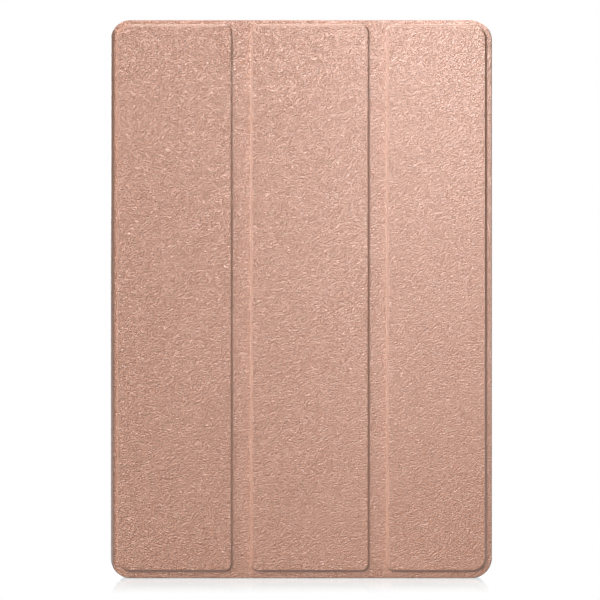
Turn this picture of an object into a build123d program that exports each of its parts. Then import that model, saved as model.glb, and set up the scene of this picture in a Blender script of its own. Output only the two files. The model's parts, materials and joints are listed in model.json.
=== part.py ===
from build123d import *
import os

# A ten-inch class tablet clipped into a tri-fold folio cover, closed, standing on its short edge.
# X runs across the front, from the spine (-X) to the free edge of the cover (+X).
# Y runs from the front face of the cover (-Y) to the back (+Y), and Z is up.
# The origin is the middle of the bottom of the closed folio. All sizes are in millimetres.

# ---- folio, outside ----
case_width = 172.3
case_height = 252.0
case_corner = 9.2

# ---- folio, layers from the front to the back ----
skin = 0.8
board = 1.1
lining = 0.4
cover_gap = 0.2
tray_lip = 0.7
tablet_depth = 6.9
tray_wall = 1.4
case_depth = skin + board + lining + cover_gap + tray_lip + tablet_depth + tray_wall + skin

front_y = -case_depth / 2
back_y = case_depth / 2
glue_y = front_y + skin + board
margin_y = glue_y - skin
lining_y = glue_y + lining
lip_y = lining_y + cover_gap
glass_y = lip_y + tray_lip
tablet_back = glass_y + tablet_depth
tray_back = tablet_back + tray_wall

case_left = -case_width / 2
case_right = case_width / 2

# ---- raised panel faces, as seen from the front ----
side_margin = 2.9
top_margin = 2.45
bottom_margin = 3.25
left_panel_width = 51.9
left_channel_width = 8.6
mid_panel_width = 53.1
right_channel_width = 8.2
outer_radius = 6.4
inner_radius = 3.4
slope_width = 1.3
panel_edge = 1.6
strip_gap = 0.1
board_inset = 0.3

left_panel_x = case_left + side_margin
left_channel_x = left_panel_x + left_panel_width
mid_panel_x = left_channel_x + left_channel_width
right_channel_x = mid_panel_x + mid_panel_width
right_panel_x = right_channel_x + right_channel_width
right_panel_end = case_right - side_margin
panel_bottom = bottom_margin
panel_top = case_height - top_margin

# ---- soft folds on each side of the spine ----
fold_radius = 3.0
spine_board = 0.8
spine_board_inset = 0.45
trim_room = 0.02

fold_x = case_left + fold_radius
rear_fold_y = back_y - fold_radius
front_fold_y = margin_y + fold_radius

# ---- tray ----
overhang = 1.1
tray_fit = 0.1
lip_reach = 1.2
low_wall_y = glass_y + 0.5
corner_arm = 30.0

# ---- tablet, outside ----
tablet_width = 164.0
tablet_height = 247.0
tablet_corner = 8.0
tablet_x = case_right - overhang - tray_wall - tray_fit - tablet_width / 2
tablet_z = case_height / 2
tablet_right = tablet_x + tablet_width / 2
tablet_bottom = tablet_z - tablet_height / 2
tablet_top = tablet_z + tablet_height / 2

# ---- tablet, walls and layers ----
side_wall = 1.5
back_wall = 0.9
rim_drop = 0.1
back_fillet = 1.2
glass_gap = 0.1
glass_depth = 0.7
panel_depth = 1.6
adhesive = 0.3
frame_plate = 0.4
frame_step = 0.2
bezel_side = 11.3
bezel_end = 10.4
panel_grow = 1.5

glass_back = glass_y + glass_depth
shelf_y = glass_back + adhesive
panel_back = glass_back + panel_depth
plate_front = panel_back + frame_step
plate_back = plate_front + frame_plate
housing_floor = tablet_back - back_wall
inner_inset = side_wall + glass_gap
inner_right = tablet_right - side_wall

# ---- buttons and card tray, on the long side away from the spine ----
side_y = 1.05
button_height = 1.8
button_room = 0.15
button_proud = 0.45
flange_depth = 0.5
flange_gap = 0.4
flange_grow = 1.2
power_length = 12.0
volume_length = 24.0
power_z = tablet_z + 84.0
volume_z = tablet_z + 58.0
dome_radius = 1.0
dome_depth = 0.4
dome_room = 0.4
flex_depth = 0.2
volume_dome_reach = 8.0
card_z = tablet_z + 32.0
card_length = 24.0
card_width = 12.6
card_depth = 1.5
card_plate = 1.2
card_plate_length = 14.6
card_plate_height = 1.9
card_rim = 0.9
card_floor = 0.4
card_room = 0.12
reader_wall = 0.2

# ---- openings in the bottom and the top edge ----
port_y = 1.15
port_width = 9.0
port_height = 3.2
port_length = 7.4
port_wall = 0.3
tongue_width = 6.7
tongue_height = 0.7
speaker_hole = 0.6
speaker_hole_pitch = 2.6
speaker_hole_count = 9
speaker_x = 38.0
speaker_width = 34.0
speaker_length = 11.0
speaker_depth = 2.6
mesh_depth = 0.3
mic_hole = 0.4
mic_x = 18.6

# ---- camera, in the top corner away from the spine ----
camera_x = tablet_x + 67.0
camera_z = tablet_z + 104.0
camera_size = 9.6
ring_radius = 6.2
ring_bore = 4.4
barrel_radius = 3.6
ring_proud = 1.0
lens_depth = 0.4
window_size = 20.0
window_corner = 5.0
window_step = 0.5
fit = 0.05

# ---- room that a cut runs past the wall it opens ----
cut_room = 1.0
cut_start = 0.5

# ---- inside the tablet ----
cell_width = 66.0
cell_height = 118.0
cell_depth = 2.6
cell_gap = 9.0
cell_z = tablet_z - 40.0
pcb = 0.8
pcb_back = housing_floor - 0.25
pcb_front = pcb_back - pcb


def facing(y):
    """Plane at depth y that looks out of the front: its x is X, its y is Z, and it extrudes towards -Y."""
    return Plane.XZ.offset(-y)


def folio_outline(x_low, x_high, room=0.0):
    """Draws the folio's rounded outline between two places across it, in the open sketch."""
    with Locations((0, case_height / 2)):
        RectangleRounded(case_width + room, case_height + room, case_corner)
    with Locations(((x_low + x_high) / 2, case_height / 2)):
        Rectangle(x_high - x_low, case_height + room, mode=Mode.INTERSECT)


def tablet_outline(grow):
    """Draws the tablet's outline, grown all round, in the open sketch."""
    with Locations((tablet_x, tablet_z)):
        RectangleRounded(tablet_width + 2 * grow, tablet_height + 2 * grow, tablet_corner + grow)


def raised_outline(sketch, x_low, x_high, left_radius, right_radius, grow):
    """Draws a raised panel face, grown all round, with its own radius at its left and right corners."""
    with Locations(((x_low + x_high) / 2, (panel_bottom + panel_top) / 2)):
        Rectangle(x_high - x_low + 2 * grow, panel_top - panel_bottom + 2 * grow)
    fillet(sketch.vertices().group_by(Axis.X)[0], left_radius + grow)
    fillet(sketch.vertices().group_by(Axis.X)[-1], right_radius + grow)


def block(x, z, width, height, y_front, y_back, corner=0.4):
    """A flat block with rounded corners between two depths."""
    with BuildPart() as made:
        with BuildSketch(facing(y_back)):
            with Locations((x, z)):
                RectangleRounded(width, height, corner)
        extrude(amount=y_back - y_front)
    return made


def fold_ring(centre_y, away, outer, depth):
    """Quarter of a tube along the folio's edge, on the spine side of centre_y; away is its side in Y."""
    with BuildPart() as made:
        with BuildSketch(Plane.XY):
            with Locations((fold_x, centre_y)):
                Circle(outer)
                Circle(outer - depth, mode=Mode.SUBTRACT)
            with Locations((fold_x - outer / 2, centre_y + away * outer / 2)):
                Rectangle(outer, outer, mode=Mode.INTERSECT)
        extrude(amount=case_height)
        with BuildSketch(facing(back_y)):
            folio_outline(case_left - trim_room, case_right, trim_room)
        extrude(amount=case_depth, mode=Mode.INTERSECT)
    return made


def spine_layer(x_low, x_high, y_low, y_high):
    """Flat strip along the spine, cut to the folio's rounded outline."""
    with BuildPart() as made:
        with BuildSketch(Plane.XY):
            with Locations(((x_low + x_high) / 2, (y_low + y_high) / 2)):
                Rectangle(x_high - x_low, y_high - y_low)
        extrude(amount=case_height)
        with BuildSketch(facing(back_y)):
            folio_outline(case_left - trim_room, case_right, trim_room)
        extrude(amount=case_depth, mode=Mode.INTERSECT)
    return made


pieces = {}

# ---- cover panels: skin, stiffener board and lining of each ----
plate_edge = panel_edge - strip_gap / 2
panels = {
    "left": (fold_x, left_channel_x + plate_edge, left_panel_x, left_channel_x, outer_radius, inner_radius),
    "mid": (
        mid_panel_x - plate_edge,
        right_channel_x + plate_edge,
        mid_panel_x,
        right_channel_x,
        inner_radius,
        inner_radius,
    ),
    "right": (
        right_panel_x - plate_edge,
        case_right,
        right_panel_x,
        right_panel_end,
        inner_radius,
        outer_radius,
    ),
}
magnet_x = right_panel_end - 5.0
magnet_width = 4.0
magnet_height = 20.0
magnet_pitch = 70.0
magnet_corner = 0.4
wake_magnet_x = right_panel_end - 14.0
wake_magnet_z = tablet_z + 40.0
wake_magnet_radius = 3.0
magnet_depth = 0.9
half_slope = slope_width / 2

for side, (x_low, x_high, raised_low, raised_high, left_radius, right_radius) in panels.items():
    inside = -half_slope - board_inset
    # the left panel's slope starts where the spine's fold ends
    foot_low = max(raised_low - half_slope, x_low + strip_gap)
    with BuildPart() as panel_skin:
        with BuildSketch(facing(glue_y)):
            folio_outline(x_low, x_high)
        extrude(amount=skin)
        with BuildSketch(facing(margin_y)) as foot:
            raised_outline(foot, foot_low + half_slope, raised_high, left_radius, right_radius, half_slope)
        with BuildSketch(facing(front_y)) as crest:
            raised_outline(crest, raised_low, raised_high, left_radius, right_radius, -half_slope)
        loft(ruled=True)
        with BuildSketch(facing(glue_y)) as pocket:
            raised_outline(pocket, raised_low, raised_high, left_radius, right_radius, inside)
        extrude(amount=board, mode=Mode.SUBTRACT)
    pieces[f"panel_{side}_skin"] = panel_skin

    with BuildPart() as panel_board:
        with BuildSketch(facing(glue_y)) as outline:
            raised_outline(outline, raised_low, raised_high, left_radius, right_radius, inside)
        extrude(amount=board)
        if side == "right":
            with BuildSketch(facing(glue_y)):
                with Locations((magnet_x, tablet_z)):
                    with GridLocations(1, magnet_pitch, 1, 3):
                        RectangleRounded(magnet_width, magnet_height, magnet_corner)
                with Locations((wake_magnet_x, wake_magnet_z)):
                    Circle(wake_magnet_radius)
            extrude(amount=magnet_depth, mode=Mode.SUBTRACT)
    pieces[f"panel_{side}_board"] = panel_board

    with BuildPart() as panel_lining:
        with BuildSketch(facing(lining_y)):
            folio_outline(x_low, x_high)
        extrude(amount=lining)
    pieces[f"panel_{side}_lining"] = panel_lining

with BuildPart() as closure_magnets:
    with BuildSketch(facing(glue_y)):
        with Locations((magnet_x, tablet_z)):
            with GridLocations(1, magnet_pitch, 1, 3):
                RectangleRounded(magnet_width, magnet_height, magnet_corner)
    extrude(amount=magnet_depth)
pieces["closure_magnets"] = closure_magnets

with BuildPart() as wake_magnet:
    with BuildSketch(facing(glue_y)):
        with Locations((wake_magnet_x, wake_magnet_z)):
            Circle(wake_magnet_radius)
    extrude(amount=magnet_depth)
pieces["wake_magnet"] = wake_magnet

# ---- strips in the fold channels, each between two crease lines ----
strip_edge = panel_edge + strip_gap / 2
channels = {
    "left": (left_channel_x + strip_edge, mid_panel_x - strip_edge),
    "right": (right_channel_x + strip_edge, right_panel_x - strip_edge),
}
for side, (x_low, x_high) in channels.items():
    with BuildPart() as fold_skin:
        with BuildSketch(facing(glue_y)):
            folio_outline(x_low, x_high)
        extrude(amount=skin)
    pieces[f"fold_{side}_skin"] = fold_skin

    with BuildPart() as fold_lining:
        with BuildSketch(facing(lining_y)):
            folio_outline(x_low, x_high)
        extrude(amount=lining)
    pieces[f"fold_{side}_lining"] = fold_lining

# ---- spine, with a soft fold along each of its edges ----
pieces["rear_fold_skin"] = fold_ring(rear_fold_y, 1, fold_radius, skin)
pieces["rear_fold_lining"] = fold_ring(rear_fold_y, 1, fold_radius - skin, lining)
pieces["front_fold_skin"] = fold_ring(front_fold_y, -1, fold_radius, skin)
pieces["front_fold_lining"] = fold_ring(front_fold_y, -1, fold_radius - skin, lining)
board_low = front_fold_y + spine_board_inset
board_high = rear_fold_y - spine_board_inset
spine_board_x = case_left + skin
spine_lining_x = spine_board_x + spine_board
spine_low = front_fold_y + strip_gap
spine_high = rear_fold_y - strip_gap
pieces["spine_skin"] = spine_layer(case_left, spine_board_x, spine_low, spine_high)
pieces["spine_board"] = spine_layer(spine_board_x, spine_lining_x, board_low, board_high)
pieces["spine_lining"] = spine_layer(spine_lining_x, spine_lining_x + lining, board_low, board_high)

# ---- skin on the back, with a window for the camera ----
skin_window = window_size + 2 * window_step
with BuildPart() as back_skin:
    with BuildSketch(facing(back_y)):
        folio_outline(fold_x, case_right)
        with Locations((camera_x, camera_z)):
            RectangleRounded(skin_window, skin_window, window_corner + window_step, mode=Mode.SUBTRACT)
    extrude(amount=skin)
pieces["back_skin"] = back_skin

# ---- tray: an open shell that clips round the tablet, with lips at its four corners ----
side_window_room = 4.5
side_window_low = card_z - card_plate_length / 2 - side_window_room
side_window_high = power_z + power_length / 2 + side_window_room
side_window_depth = 5.2
edge_window_depth = 4.6
port_window_width = 15.0
edge_window_width = 28.0
window_rounding = 1.8
with BuildPart() as tray:
    with BuildSketch(facing(tray_back)):
        tablet_outline(tray_fit + tray_wall)
    extrude(amount=tray_back - lip_y)
    with BuildSketch(facing(tablet_back)):
        tablet_outline(tray_fit)
    extrude(amount=tablet_depth, mode=Mode.SUBTRACT)
    with BuildSketch(facing(glass_y)):
        tablet_outline(-lip_reach)
    extrude(amount=tray_lip, mode=Mode.SUBTRACT)
    # the walls are lower between the corners
    with BuildSketch(facing(low_wall_y)):
        with Locations((tablet_x, tablet_z)):
            Rectangle(case_width, tablet_height - 2 * corner_arm)
            Rectangle(tablet_width - 2 * corner_arm, case_height)
    extrude(amount=low_wall_y - lip_y, mode=Mode.SUBTRACT)
    with BuildSketch(Plane.YZ.offset(tablet_right - cut_room)):
        with Locations((side_y, (side_window_low + side_window_high) / 2)):
            RectangleRounded(side_window_depth, side_window_high - side_window_low, window_rounding)
    extrude(amount=2 * tray_wall + cut_room, mode=Mode.SUBTRACT)
    with BuildSketch(Plane.XY):
        with Locations((tablet_x, port_y)):
            RectangleRounded(port_window_width, edge_window_depth, window_rounding)
        with Locations((tablet_x - speaker_x, port_y), (tablet_x + speaker_x, port_y)):
            RectangleRounded(edge_window_width, edge_window_depth, window_rounding)
    extrude(amount=tablet_bottom + cut_room, mode=Mode.SUBTRACT)
    with BuildSketch(Plane.XY.offset(tablet_top - cut_room)):
        with Locations((tablet_x - speaker_x, port_y), (tablet_x + speaker_x, port_y)):
            RectangleRounded(edge_window_width, edge_window_depth, window_rounding)
    extrude(amount=2 * tray_wall + cut_room, mode=Mode.SUBTRACT)
    with BuildSketch(facing(tray_back)):
        with Locations((camera_x, camera_z)):
            RectangleRounded(window_size, window_size, window_corner)
    extrude(amount=tray_wall, mode=Mode.SUBTRACT)
pieces["tray"] = tray

# ---- tablet: rear housing ----
with BuildPart() as rear_housing:
    with BuildSketch(facing(tablet_back)):
        tablet_outline(0)
    extrude(amount=tablet_depth - rim_drop)
    fillet(rear_housing.edges().group_by(Axis.Y)[-1], back_fillet)
    with BuildSketch(facing(housing_floor)):
        tablet_outline(-side_wall)
    extrude(amount=tablet_depth, mode=Mode.SUBTRACT)
    # slots for the buttons and the card tray
    with BuildSketch(Plane.YZ.offset(inner_right - cut_start)):
        with Locations((side_y, power_z)):
            SlotOverall(power_length + 2 * button_room, button_height + 2 * button_room, rotation=90)
        with Locations((side_y, volume_z)):
            SlotOverall(volume_length + 2 * button_room, button_height + 2 * button_room, rotation=90)
        with Locations((side_y, card_z)):
            SlotOverall(card_plate_length + 2 * card_room, card_plate_height + 2 * card_room, rotation=90)
    extrude(amount=side_wall + cut_room, mode=Mode.SUBTRACT)
    # port, speaker and microphone openings
    with BuildSketch(Plane.XY.offset(tablet_bottom - cut_start)):
        with Locations((tablet_x, port_y)):
            SlotOverall(port_width + 2 * fit, port_height + 2 * fit)
        with Locations((tablet_x - speaker_x, port_y), (tablet_x + speaker_x, port_y)):
            with GridLocations(speaker_hole_pitch, 1, speaker_hole_count, 1):
                Circle(speaker_hole)
        with Locations((tablet_x + mic_x, port_y)):
            Circle(mic_hole)
    extrude(amount=side_wall + cut_room, mode=Mode.SUBTRACT)
    with BuildSketch(Plane.XY.offset(tablet_top - side_wall - cut_start)):
        with Locations((tablet_x - speaker_x, port_y), (tablet_x + speaker_x, port_y)):
            with GridLocations(speaker_hole_pitch, 1, speaker_hole_count, 1):
                Circle(speaker_hole)
        with Locations((tablet_x, port_y)):
            Circle(mic_hole)
    extrude(amount=side_wall + cut_room, mode=Mode.SUBTRACT)
    with BuildSketch(facing(tablet_back)):
        with Locations((camera_x, camera_z)):
            Circle(ring_radius + fit)
    extrude(amount=back_wall, mode=Mode.SUBTRACT)
pieces["rear_housing"] = rear_housing

# ---- tablet: glass, display, adhesive and mid frame ----
edge_chamfer = 0.15
adhesive_inset = 0.5
adhesive_room = 1.0
with BuildPart() as cover_glass:
    with BuildSketch(facing(glass_back)):
        tablet_outline(-inner_inset)
    extrude(amount=glass_depth)
    chamfer(cover_glass.edges().group_by(Axis.Y)[0], edge_chamfer)
pieces["cover_glass"] = cover_glass

display_width = tablet_width - 2 * bezel_side + 2 * panel_grow
display_height = tablet_height - 2 * bezel_end + 2 * panel_grow
pieces["display_panel"] = block(tablet_x, tablet_z, display_width, display_height, glass_back, panel_back)

adhesive_width = display_width + 2 * adhesive_room
adhesive_height = display_height + 2 * adhesive_room
with BuildPart() as display_adhesive:
    with BuildSketch(facing(shelf_y)):
        tablet_outline(-inner_inset - adhesive_inset)
        with Locations((tablet_x, tablet_z)):
            Rectangle(adhesive_width, adhesive_height, mode=Mode.SUBTRACT)
    extrude(amount=adhesive)
pieces["display_adhesive"] = display_adhesive

flex_slot_x = tablet_x + 40.2
flex_slot_z = tablet_z + 40.0
flex_slot_width = 11.0
flex_slot_height = 3.0
front_camera_x = tablet_right - 5.6
front_camera_z = tablet_z
front_camera_size = 5.6
sensor_z = tablet_z - 12.0
sensor_size = 2.4
port_room = 1.0
camera_hole = front_camera_size + 0.4
sensor_hole = sensor_size + 0.4
with BuildPart() as mid_frame:
    with BuildSketch(facing(plate_back)):
        tablet_outline(-inner_inset)
    extrude(amount=plate_back - shelf_y)
    with BuildSketch(facing(plate_front)):
        with Locations((tablet_x, tablet_z)):
            Rectangle(display_width + 2 * frame_step, display_height + 2 * frame_step)
    extrude(amount=plate_front - shelf_y, mode=Mode.SUBTRACT)
    with BuildSketch(facing(plate_back)):
        with Locations((flex_slot_x, flex_slot_z)):
            Rectangle(flex_slot_width, flex_slot_height)
        with Locations((tablet_x, tablet_bottom + inner_inset + port_length / 2)):
            Rectangle(port_width + 2 * port_room, port_length + 2 * port_room)
    extrude(amount=frame_plate, mode=Mode.SUBTRACT)
    with BuildSketch(facing(plate_back)):
        with Locations((front_camera_x, front_camera_z)):
            Rectangle(camera_hole, camera_hole)
        with Locations((front_camera_x, sensor_z)):
            Rectangle(sensor_hole, sensor_hole)
    extrude(amount=plate_back - shelf_y, mode=Mode.SUBTRACT)
pieces["mid_frame"] = mid_frame

# the display's flat cable dips through the frame's slot to the main board
board_z = tablet_z + 68.0
board_x = tablet_x + 8.0
board_width = 84.0
board_height = 64.0
flex_thin = 0.15
flex_width = 7.0
flex_dip = 1.0
flex_front_reach = 12.0
flex_back_reach = 9.0
flex_front_y = panel_back + flex_thin / 2
flex_back_y = pcb_front - flex_thin / 2
with BuildPart() as display_flex:
    with BuildSketch(Plane.YZ.offset(flex_slot_x - flex_width / 2)):
        with BuildLine():
            Polyline(
                (flex_front_y, flex_slot_z - flex_front_reach),
                (flex_front_y, flex_slot_z - flex_dip),
                (flex_back_y, flex_slot_z + flex_dip),
                (flex_back_y, flex_slot_z + flex_back_reach),
            )
            offset(amount=flex_thin / 2, side=Side.BOTH, closed=True)
        make_face()
    extrude(amount=flex_width)
pieces["display_flex"] = display_flex

# ---- tablet: battery ----
cell_room = 0.15
cell_corner = 2.0
cell_fillet = 0.8
cell_back = plate_back + cell_room + cell_depth
for side, place in (("left", -1), ("right", 1)):
    with BuildPart() as cell:
        with BuildSketch(facing(cell_back)):
            with Locations((tablet_x + place * (cell_width + cell_gap) / 2, cell_z)):
                RectangleRounded(cell_width, cell_height, cell_corner)
        extrude(amount=cell_depth)
        fillet(cell.edges().filter_by(GeomType.LINE).filter_by(Axis.Z), cell_fillet)
    pieces[f"battery_cell_{side}"] = cell

guard_length = 58.0
guard_height = 4.0
guard_corner = 0.4
guard_room = 2.4
guard_chip_length = 5.0
guard_chip_height = 2.4
guard_chip_depth = 0.9
guard_chip_pitch = 12.0
guard_chip_count = 4
guard_back = plate_back + 2 * pcb
battery_board_z = cell_z + cell_height / 2 + guard_room
with BuildPart() as battery_board:
    with BuildSketch(facing(guard_back)):
        with Locations((tablet_x, battery_board_z)):
            RectangleRounded(guard_length, guard_height, guard_corner)
    extrude(amount=pcb)
    with BuildSketch(facing(guard_back + guard_chip_depth)):
        with Locations((tablet_x, battery_board_z)):
            with GridLocations(guard_chip_pitch, 1, guard_chip_count, 1):
                Rectangle(guard_chip_length, guard_chip_height)
    extrude(amount=guard_chip_depth)
pieces["battery_board"] = battery_board

# ---- tablet: main board with its shield cans ----
mount_hole = 1.1
mount_span_x = 76.0
mount_span_z = 56.0
can_depth = 1.5
can_wall = 0.15
can_corner = 1.0
can_row_z = board_z + 12.0
can_row_height = 24.0
processor_can_x = board_x - 22.0
processor_can_width = 28.0
memory_can_x = board_x + 10.0
memory_can_width = 26.0
radio_can_x = board_x - 16.0
radio_can_z = board_z - 17.0
radio_can_width = 22.0
radio_can_height = 18.0
cans = (
    (processor_can_x, can_row_z, processor_can_width, can_row_height),
    (memory_can_x, can_row_z, memory_can_width, can_row_height),
    (radio_can_x, radio_can_z, radio_can_width, radio_can_height),
)
plug_x = board_x + 30.0
plug_z = board_z + 8.0
plug_width = 5.0
plug_height = 4.0
plug_pitch = 7.0
plug_count = 5
chip_x = board_x + 14.0
chip_z = board_z - 20.0
chip_width = 4.0
chip_height = 3.0
chip_pitch_x = 8.0
chip_pitch_z = 9.0
chip_columns = 4
chip_rows = 2
chip_depth = 0.8
board_corner = 2.0
with BuildPart() as main_board:
    with BuildSketch(facing(pcb_back)):
        with Locations((board_x, board_z)):
            RectangleRounded(board_width, board_height, board_corner)
            with GridLocations(mount_span_x, mount_span_z, 2, 2):
                Circle(mount_hole, mode=Mode.SUBTRACT)
    extrude(amount=pcb)
    with BuildSketch(facing(pcb_front)):
        with Locations((plug_x, plug_z)):
            with GridLocations(1, plug_pitch, 1, plug_count):
                Rectangle(plug_width, plug_height)
        with Locations((chip_x, chip_z)):
            with GridLocations(chip_pitch_x, chip_pitch_z, chip_columns, chip_rows):
                Rectangle(chip_width, chip_height)
    extrude(amount=chip_depth)
pieces["main_board"] = main_board

with BuildPart() as shield_cans:
    for x, z, width, height in cans:
        with BuildSketch(facing(pcb_front)):
            with Locations((x, z)):
                RectangleRounded(width, height, can_corner)
        extrude(amount=can_depth)
        with BuildSketch(facing(pcb_front)):
            with Locations((x, z)):
                RectangleRounded(width - 2 * can_wall, height - 2 * can_wall, can_corner - can_wall)
        extrude(amount=can_depth - can_wall, mode=Mode.SUBTRACT)
pieces["shield_cans"] = shield_cans

hall_z = board_z - 26.0
hall_width = 2.2
hall_height = 1.6
small_corner = 0.2
hall_front = pcb_front - chip_depth
pieces["hall_sensor"] = block(
    wake_magnet_x, hall_z, hall_width, hall_height, hall_front, pcb_front, small_corner
)

# ---- tablet: sub board with the port, and the flat cable to the main board ----
sub_z = tablet_bottom + side_wall + 9.0
sub_width = 32.0
sub_height = 16.0
sub_corner = 1.0
sub_chip_x = 11.0
sub_chip_rise = 3.0
sub_chip_width = 4.0
sub_chip_height = 3.0
sub_chip_depth = 0.7
port_fit = 0.15
port_end = 1.0
tongue_start = 1.2
tongue_short = 1.8
sub_front = port_y - pcb / 2
port_z = tablet_bottom + 0.2
with BuildPart() as sub_board:
    with BuildSketch(facing(sub_front + pcb)):
        with Locations((tablet_x, sub_z)):
            RectangleRounded(sub_width, sub_height, sub_corner)
        with Locations((tablet_x, port_z + port_length / 2)):
            Rectangle(port_width + 2 * port_fit, port_length + 2 * port_fit, mode=Mode.SUBTRACT)
    extrude(amount=pcb)
    with BuildSketch(facing(sub_front)):
        with Locations((tablet_x - sub_chip_x, sub_z), (tablet_x + sub_chip_x, sub_z + sub_chip_rise)):
            Rectangle(sub_chip_width, sub_chip_height)
    extrude(amount=sub_chip_depth)
pieces["sub_board"] = sub_board

with BuildPart() as usb_port:
    with BuildSketch(Plane.XY.offset(port_z)):
        with Locations((tablet_x, port_y)):
            SlotOverall(port_width, port_height)
            SlotOverall(port_width - 2 * port_wall, port_height - 2 * port_wall, mode=Mode.SUBTRACT)
    extrude(amount=port_length)
    with BuildSketch(Plane.XY.offset(port_z + port_length - port_end)):
        with Locations((tablet_x, port_y)):
            SlotOverall(port_width, port_height)
    extrude(amount=port_end)
    with BuildSketch(Plane.XY.offset(port_z + tongue_start)):
        with Locations((tablet_x, port_y)):
            Rectangle(tongue_width, tongue_height)
    extrude(amount=port_length - tongue_short)
pieces["usb_port"] = usb_port

main_flex_y = plate_back + 0.3
main_flex_width = 6.0
main_flex_plug = 3.0
main_flex_low = sub_z + 5.0
main_flex_high = board_z - board_height / 2 + 6.0
main_flex_length = main_flex_high - main_flex_low
with BuildPart() as main_flex:
    with BuildSketch(facing(main_flex_y + flex_thin)):
        with Locations((tablet_x, main_flex_low + main_flex_length / 2)):
            Rectangle(main_flex_width, main_flex_length)
    extrude(amount=flex_thin)
    with BuildSketch(facing(sub_front)):
        with Locations((tablet_x, main_flex_low + main_flex_plug / 2)):
            Rectangle(main_flex_width, main_flex_plug)
    extrude(amount=sub_front - main_flex_y)
    with BuildSketch(facing(pcb_front)):
        with Locations((tablet_x, main_flex_high - main_flex_plug / 2)):
            Rectangle(main_flex_width, main_flex_plug)
    extrude(amount=pcb_front - main_flex_y)
pieces["main_flex"] = main_flex

# ---- tablet: rear camera ----
ring_back = tablet_back + ring_proud
ring_chamfer = 0.3
lens_sink = 0.2
lens_fit = 0.02
camera_corner = 0.8
camera_room = 0.1
barrel_bore = 1.6
barrel_room = 0.3
camera_back = housing_floor - camera_room
barrel_back = ring_back - lens_depth - barrel_room
with BuildPart() as rear_camera:
    with BuildSketch(facing(camera_back)):
        with Locations((camera_x, camera_z)):
            RectangleRounded(camera_size, camera_size, camera_corner)
    extrude(amount=camera_back - plate_back - camera_room)
    with BuildSketch(facing(barrel_back)):
        with Locations((camera_x, camera_z)):
            Circle(barrel_radius)
            Circle(barrel_bore, mode=Mode.SUBTRACT)
    extrude(amount=barrel_back - camera_back)
pieces["rear_camera"] = rear_camera

with BuildPart() as camera_ring:
    with BuildSketch(facing(ring_back)):
        with Locations((camera_x, camera_z)):
            Circle(ring_radius)
            Circle(ring_bore, mode=Mode.SUBTRACT)
    extrude(amount=ring_back - housing_floor)
    chamfer(camera_ring.edges().group_by(Axis.Y)[-1], ring_chamfer)
pieces["camera_ring"] = camera_ring

with BuildPart() as camera_lens:
    with BuildSketch(facing(ring_back - lens_sink)):
        with Locations((camera_x, camera_z)):
            Circle(ring_bore - lens_fit)
    extrude(amount=lens_depth)
pieces["camera_lens"] = camera_lens

# ---- tablet: front camera and sensors behind the glass ----
front_camera_corner = 0.5
front_camera_step = 0.6
front_barrel_length = 0.5
front_barrel_radius = 1.9
front_barrel_bore = 0.8
front_camera_front = shelf_y + front_camera_step
front_camera_back = plate_back + 1.2
sensor_front = shelf_y + 0.4
with BuildPart() as front_camera:
    with BuildSketch(facing(front_camera_back)):
        with Locations((front_camera_x, front_camera_z)):
            RectangleRounded(front_camera_size, front_camera_size, front_camera_corner)
    extrude(amount=front_camera_back - front_camera_front)
    with BuildSketch(facing(front_camera_front)):
        with Locations((front_camera_x, front_camera_z)):
            Circle(front_barrel_radius)
            Circle(front_barrel_bore, mode=Mode.SUBTRACT)
    extrude(amount=front_barrel_length)
pieces["front_camera"] = front_camera
pieces["light_sensor"] = block(
    front_camera_x, sensor_z, sensor_size, sensor_size, sensor_front, plate_back, small_corner
)

# ---- tablet: speakers behind the short edges ----
speaker_room = 0.4
speaker_lift = 0.2
speaker_corner = 1.5
cone_length = 18.0
cone_height = 7.0
cone_ring = 1.5
cone_recess = 0.5
mesh_room = 0.1
mesh_height = 2.2
speaker_inset = side_wall + mesh_depth + speaker_room + speaker_length / 2
speaker_low = tablet_bottom + speaker_inset
speaker_high = tablet_top - speaker_inset
speaker_back = plate_back + speaker_lift + speaker_depth
corners = {
    "top_left": (-1, speaker_high),
    "top_right": (1, speaker_high),
    "bottom_left": (-1, speaker_low),
    "bottom_right": (1, speaker_low),
}
for corner, (place, z) in corners.items():
    with BuildPart() as speaker:
        with BuildSketch(facing(speaker_back)):
            with Locations((tablet_x + place * speaker_x, z)):
                RectangleRounded(speaker_width, speaker_length, speaker_corner)
        extrude(amount=speaker_depth)
        # the cone's recess, on the side that faces the mid frame
        with BuildSketch(facing(speaker_back - speaker_depth + cone_recess)):
            with Locations((tablet_x + place * speaker_x, z)):
                SlotOverall(cone_length, cone_height)
                SlotOverall(cone_length - 2 * cone_ring, cone_height - 2 * cone_ring, mode=Mode.SUBTRACT)
        extrude(amount=cone_recess, mode=Mode.SUBTRACT)
    pieces[f"speaker_{corner}"] = speaker

mesh_length = (speaker_hole_count + 0.4) * speaker_hole_pitch
with BuildPart() as speaker_meshes:
    for base in (tablet_bottom + side_wall + mesh_room, tablet_top - side_wall - mesh_room - mesh_depth):
        with BuildSketch(Plane.XY.offset(base)):
            with Locations((tablet_x - speaker_x, port_y), (tablet_x + speaker_x, port_y)):
                Rectangle(mesh_length, mesh_height)
        extrude(amount=mesh_depth)
pieces["speaker_meshes"] = speaker_meshes

mic_width = 3.5
mic_height = 1.2
mic_length = 2.5
mic_low = tablet_bottom + side_wall + mesh_room
mic_high = tablet_top - side_wall - mesh_room - mic_length
with BuildPart() as microphones:
    for x, base in ((tablet_x + mic_x, mic_low), (tablet_x, mic_high)):
        with BuildSketch(Plane.XY.offset(base)):
            with Locations((x, port_y)):
                RectangleRounded(mic_width, mic_height, small_corner)
        extrude(amount=mic_length)
pieces["microphones"] = microphones

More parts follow.
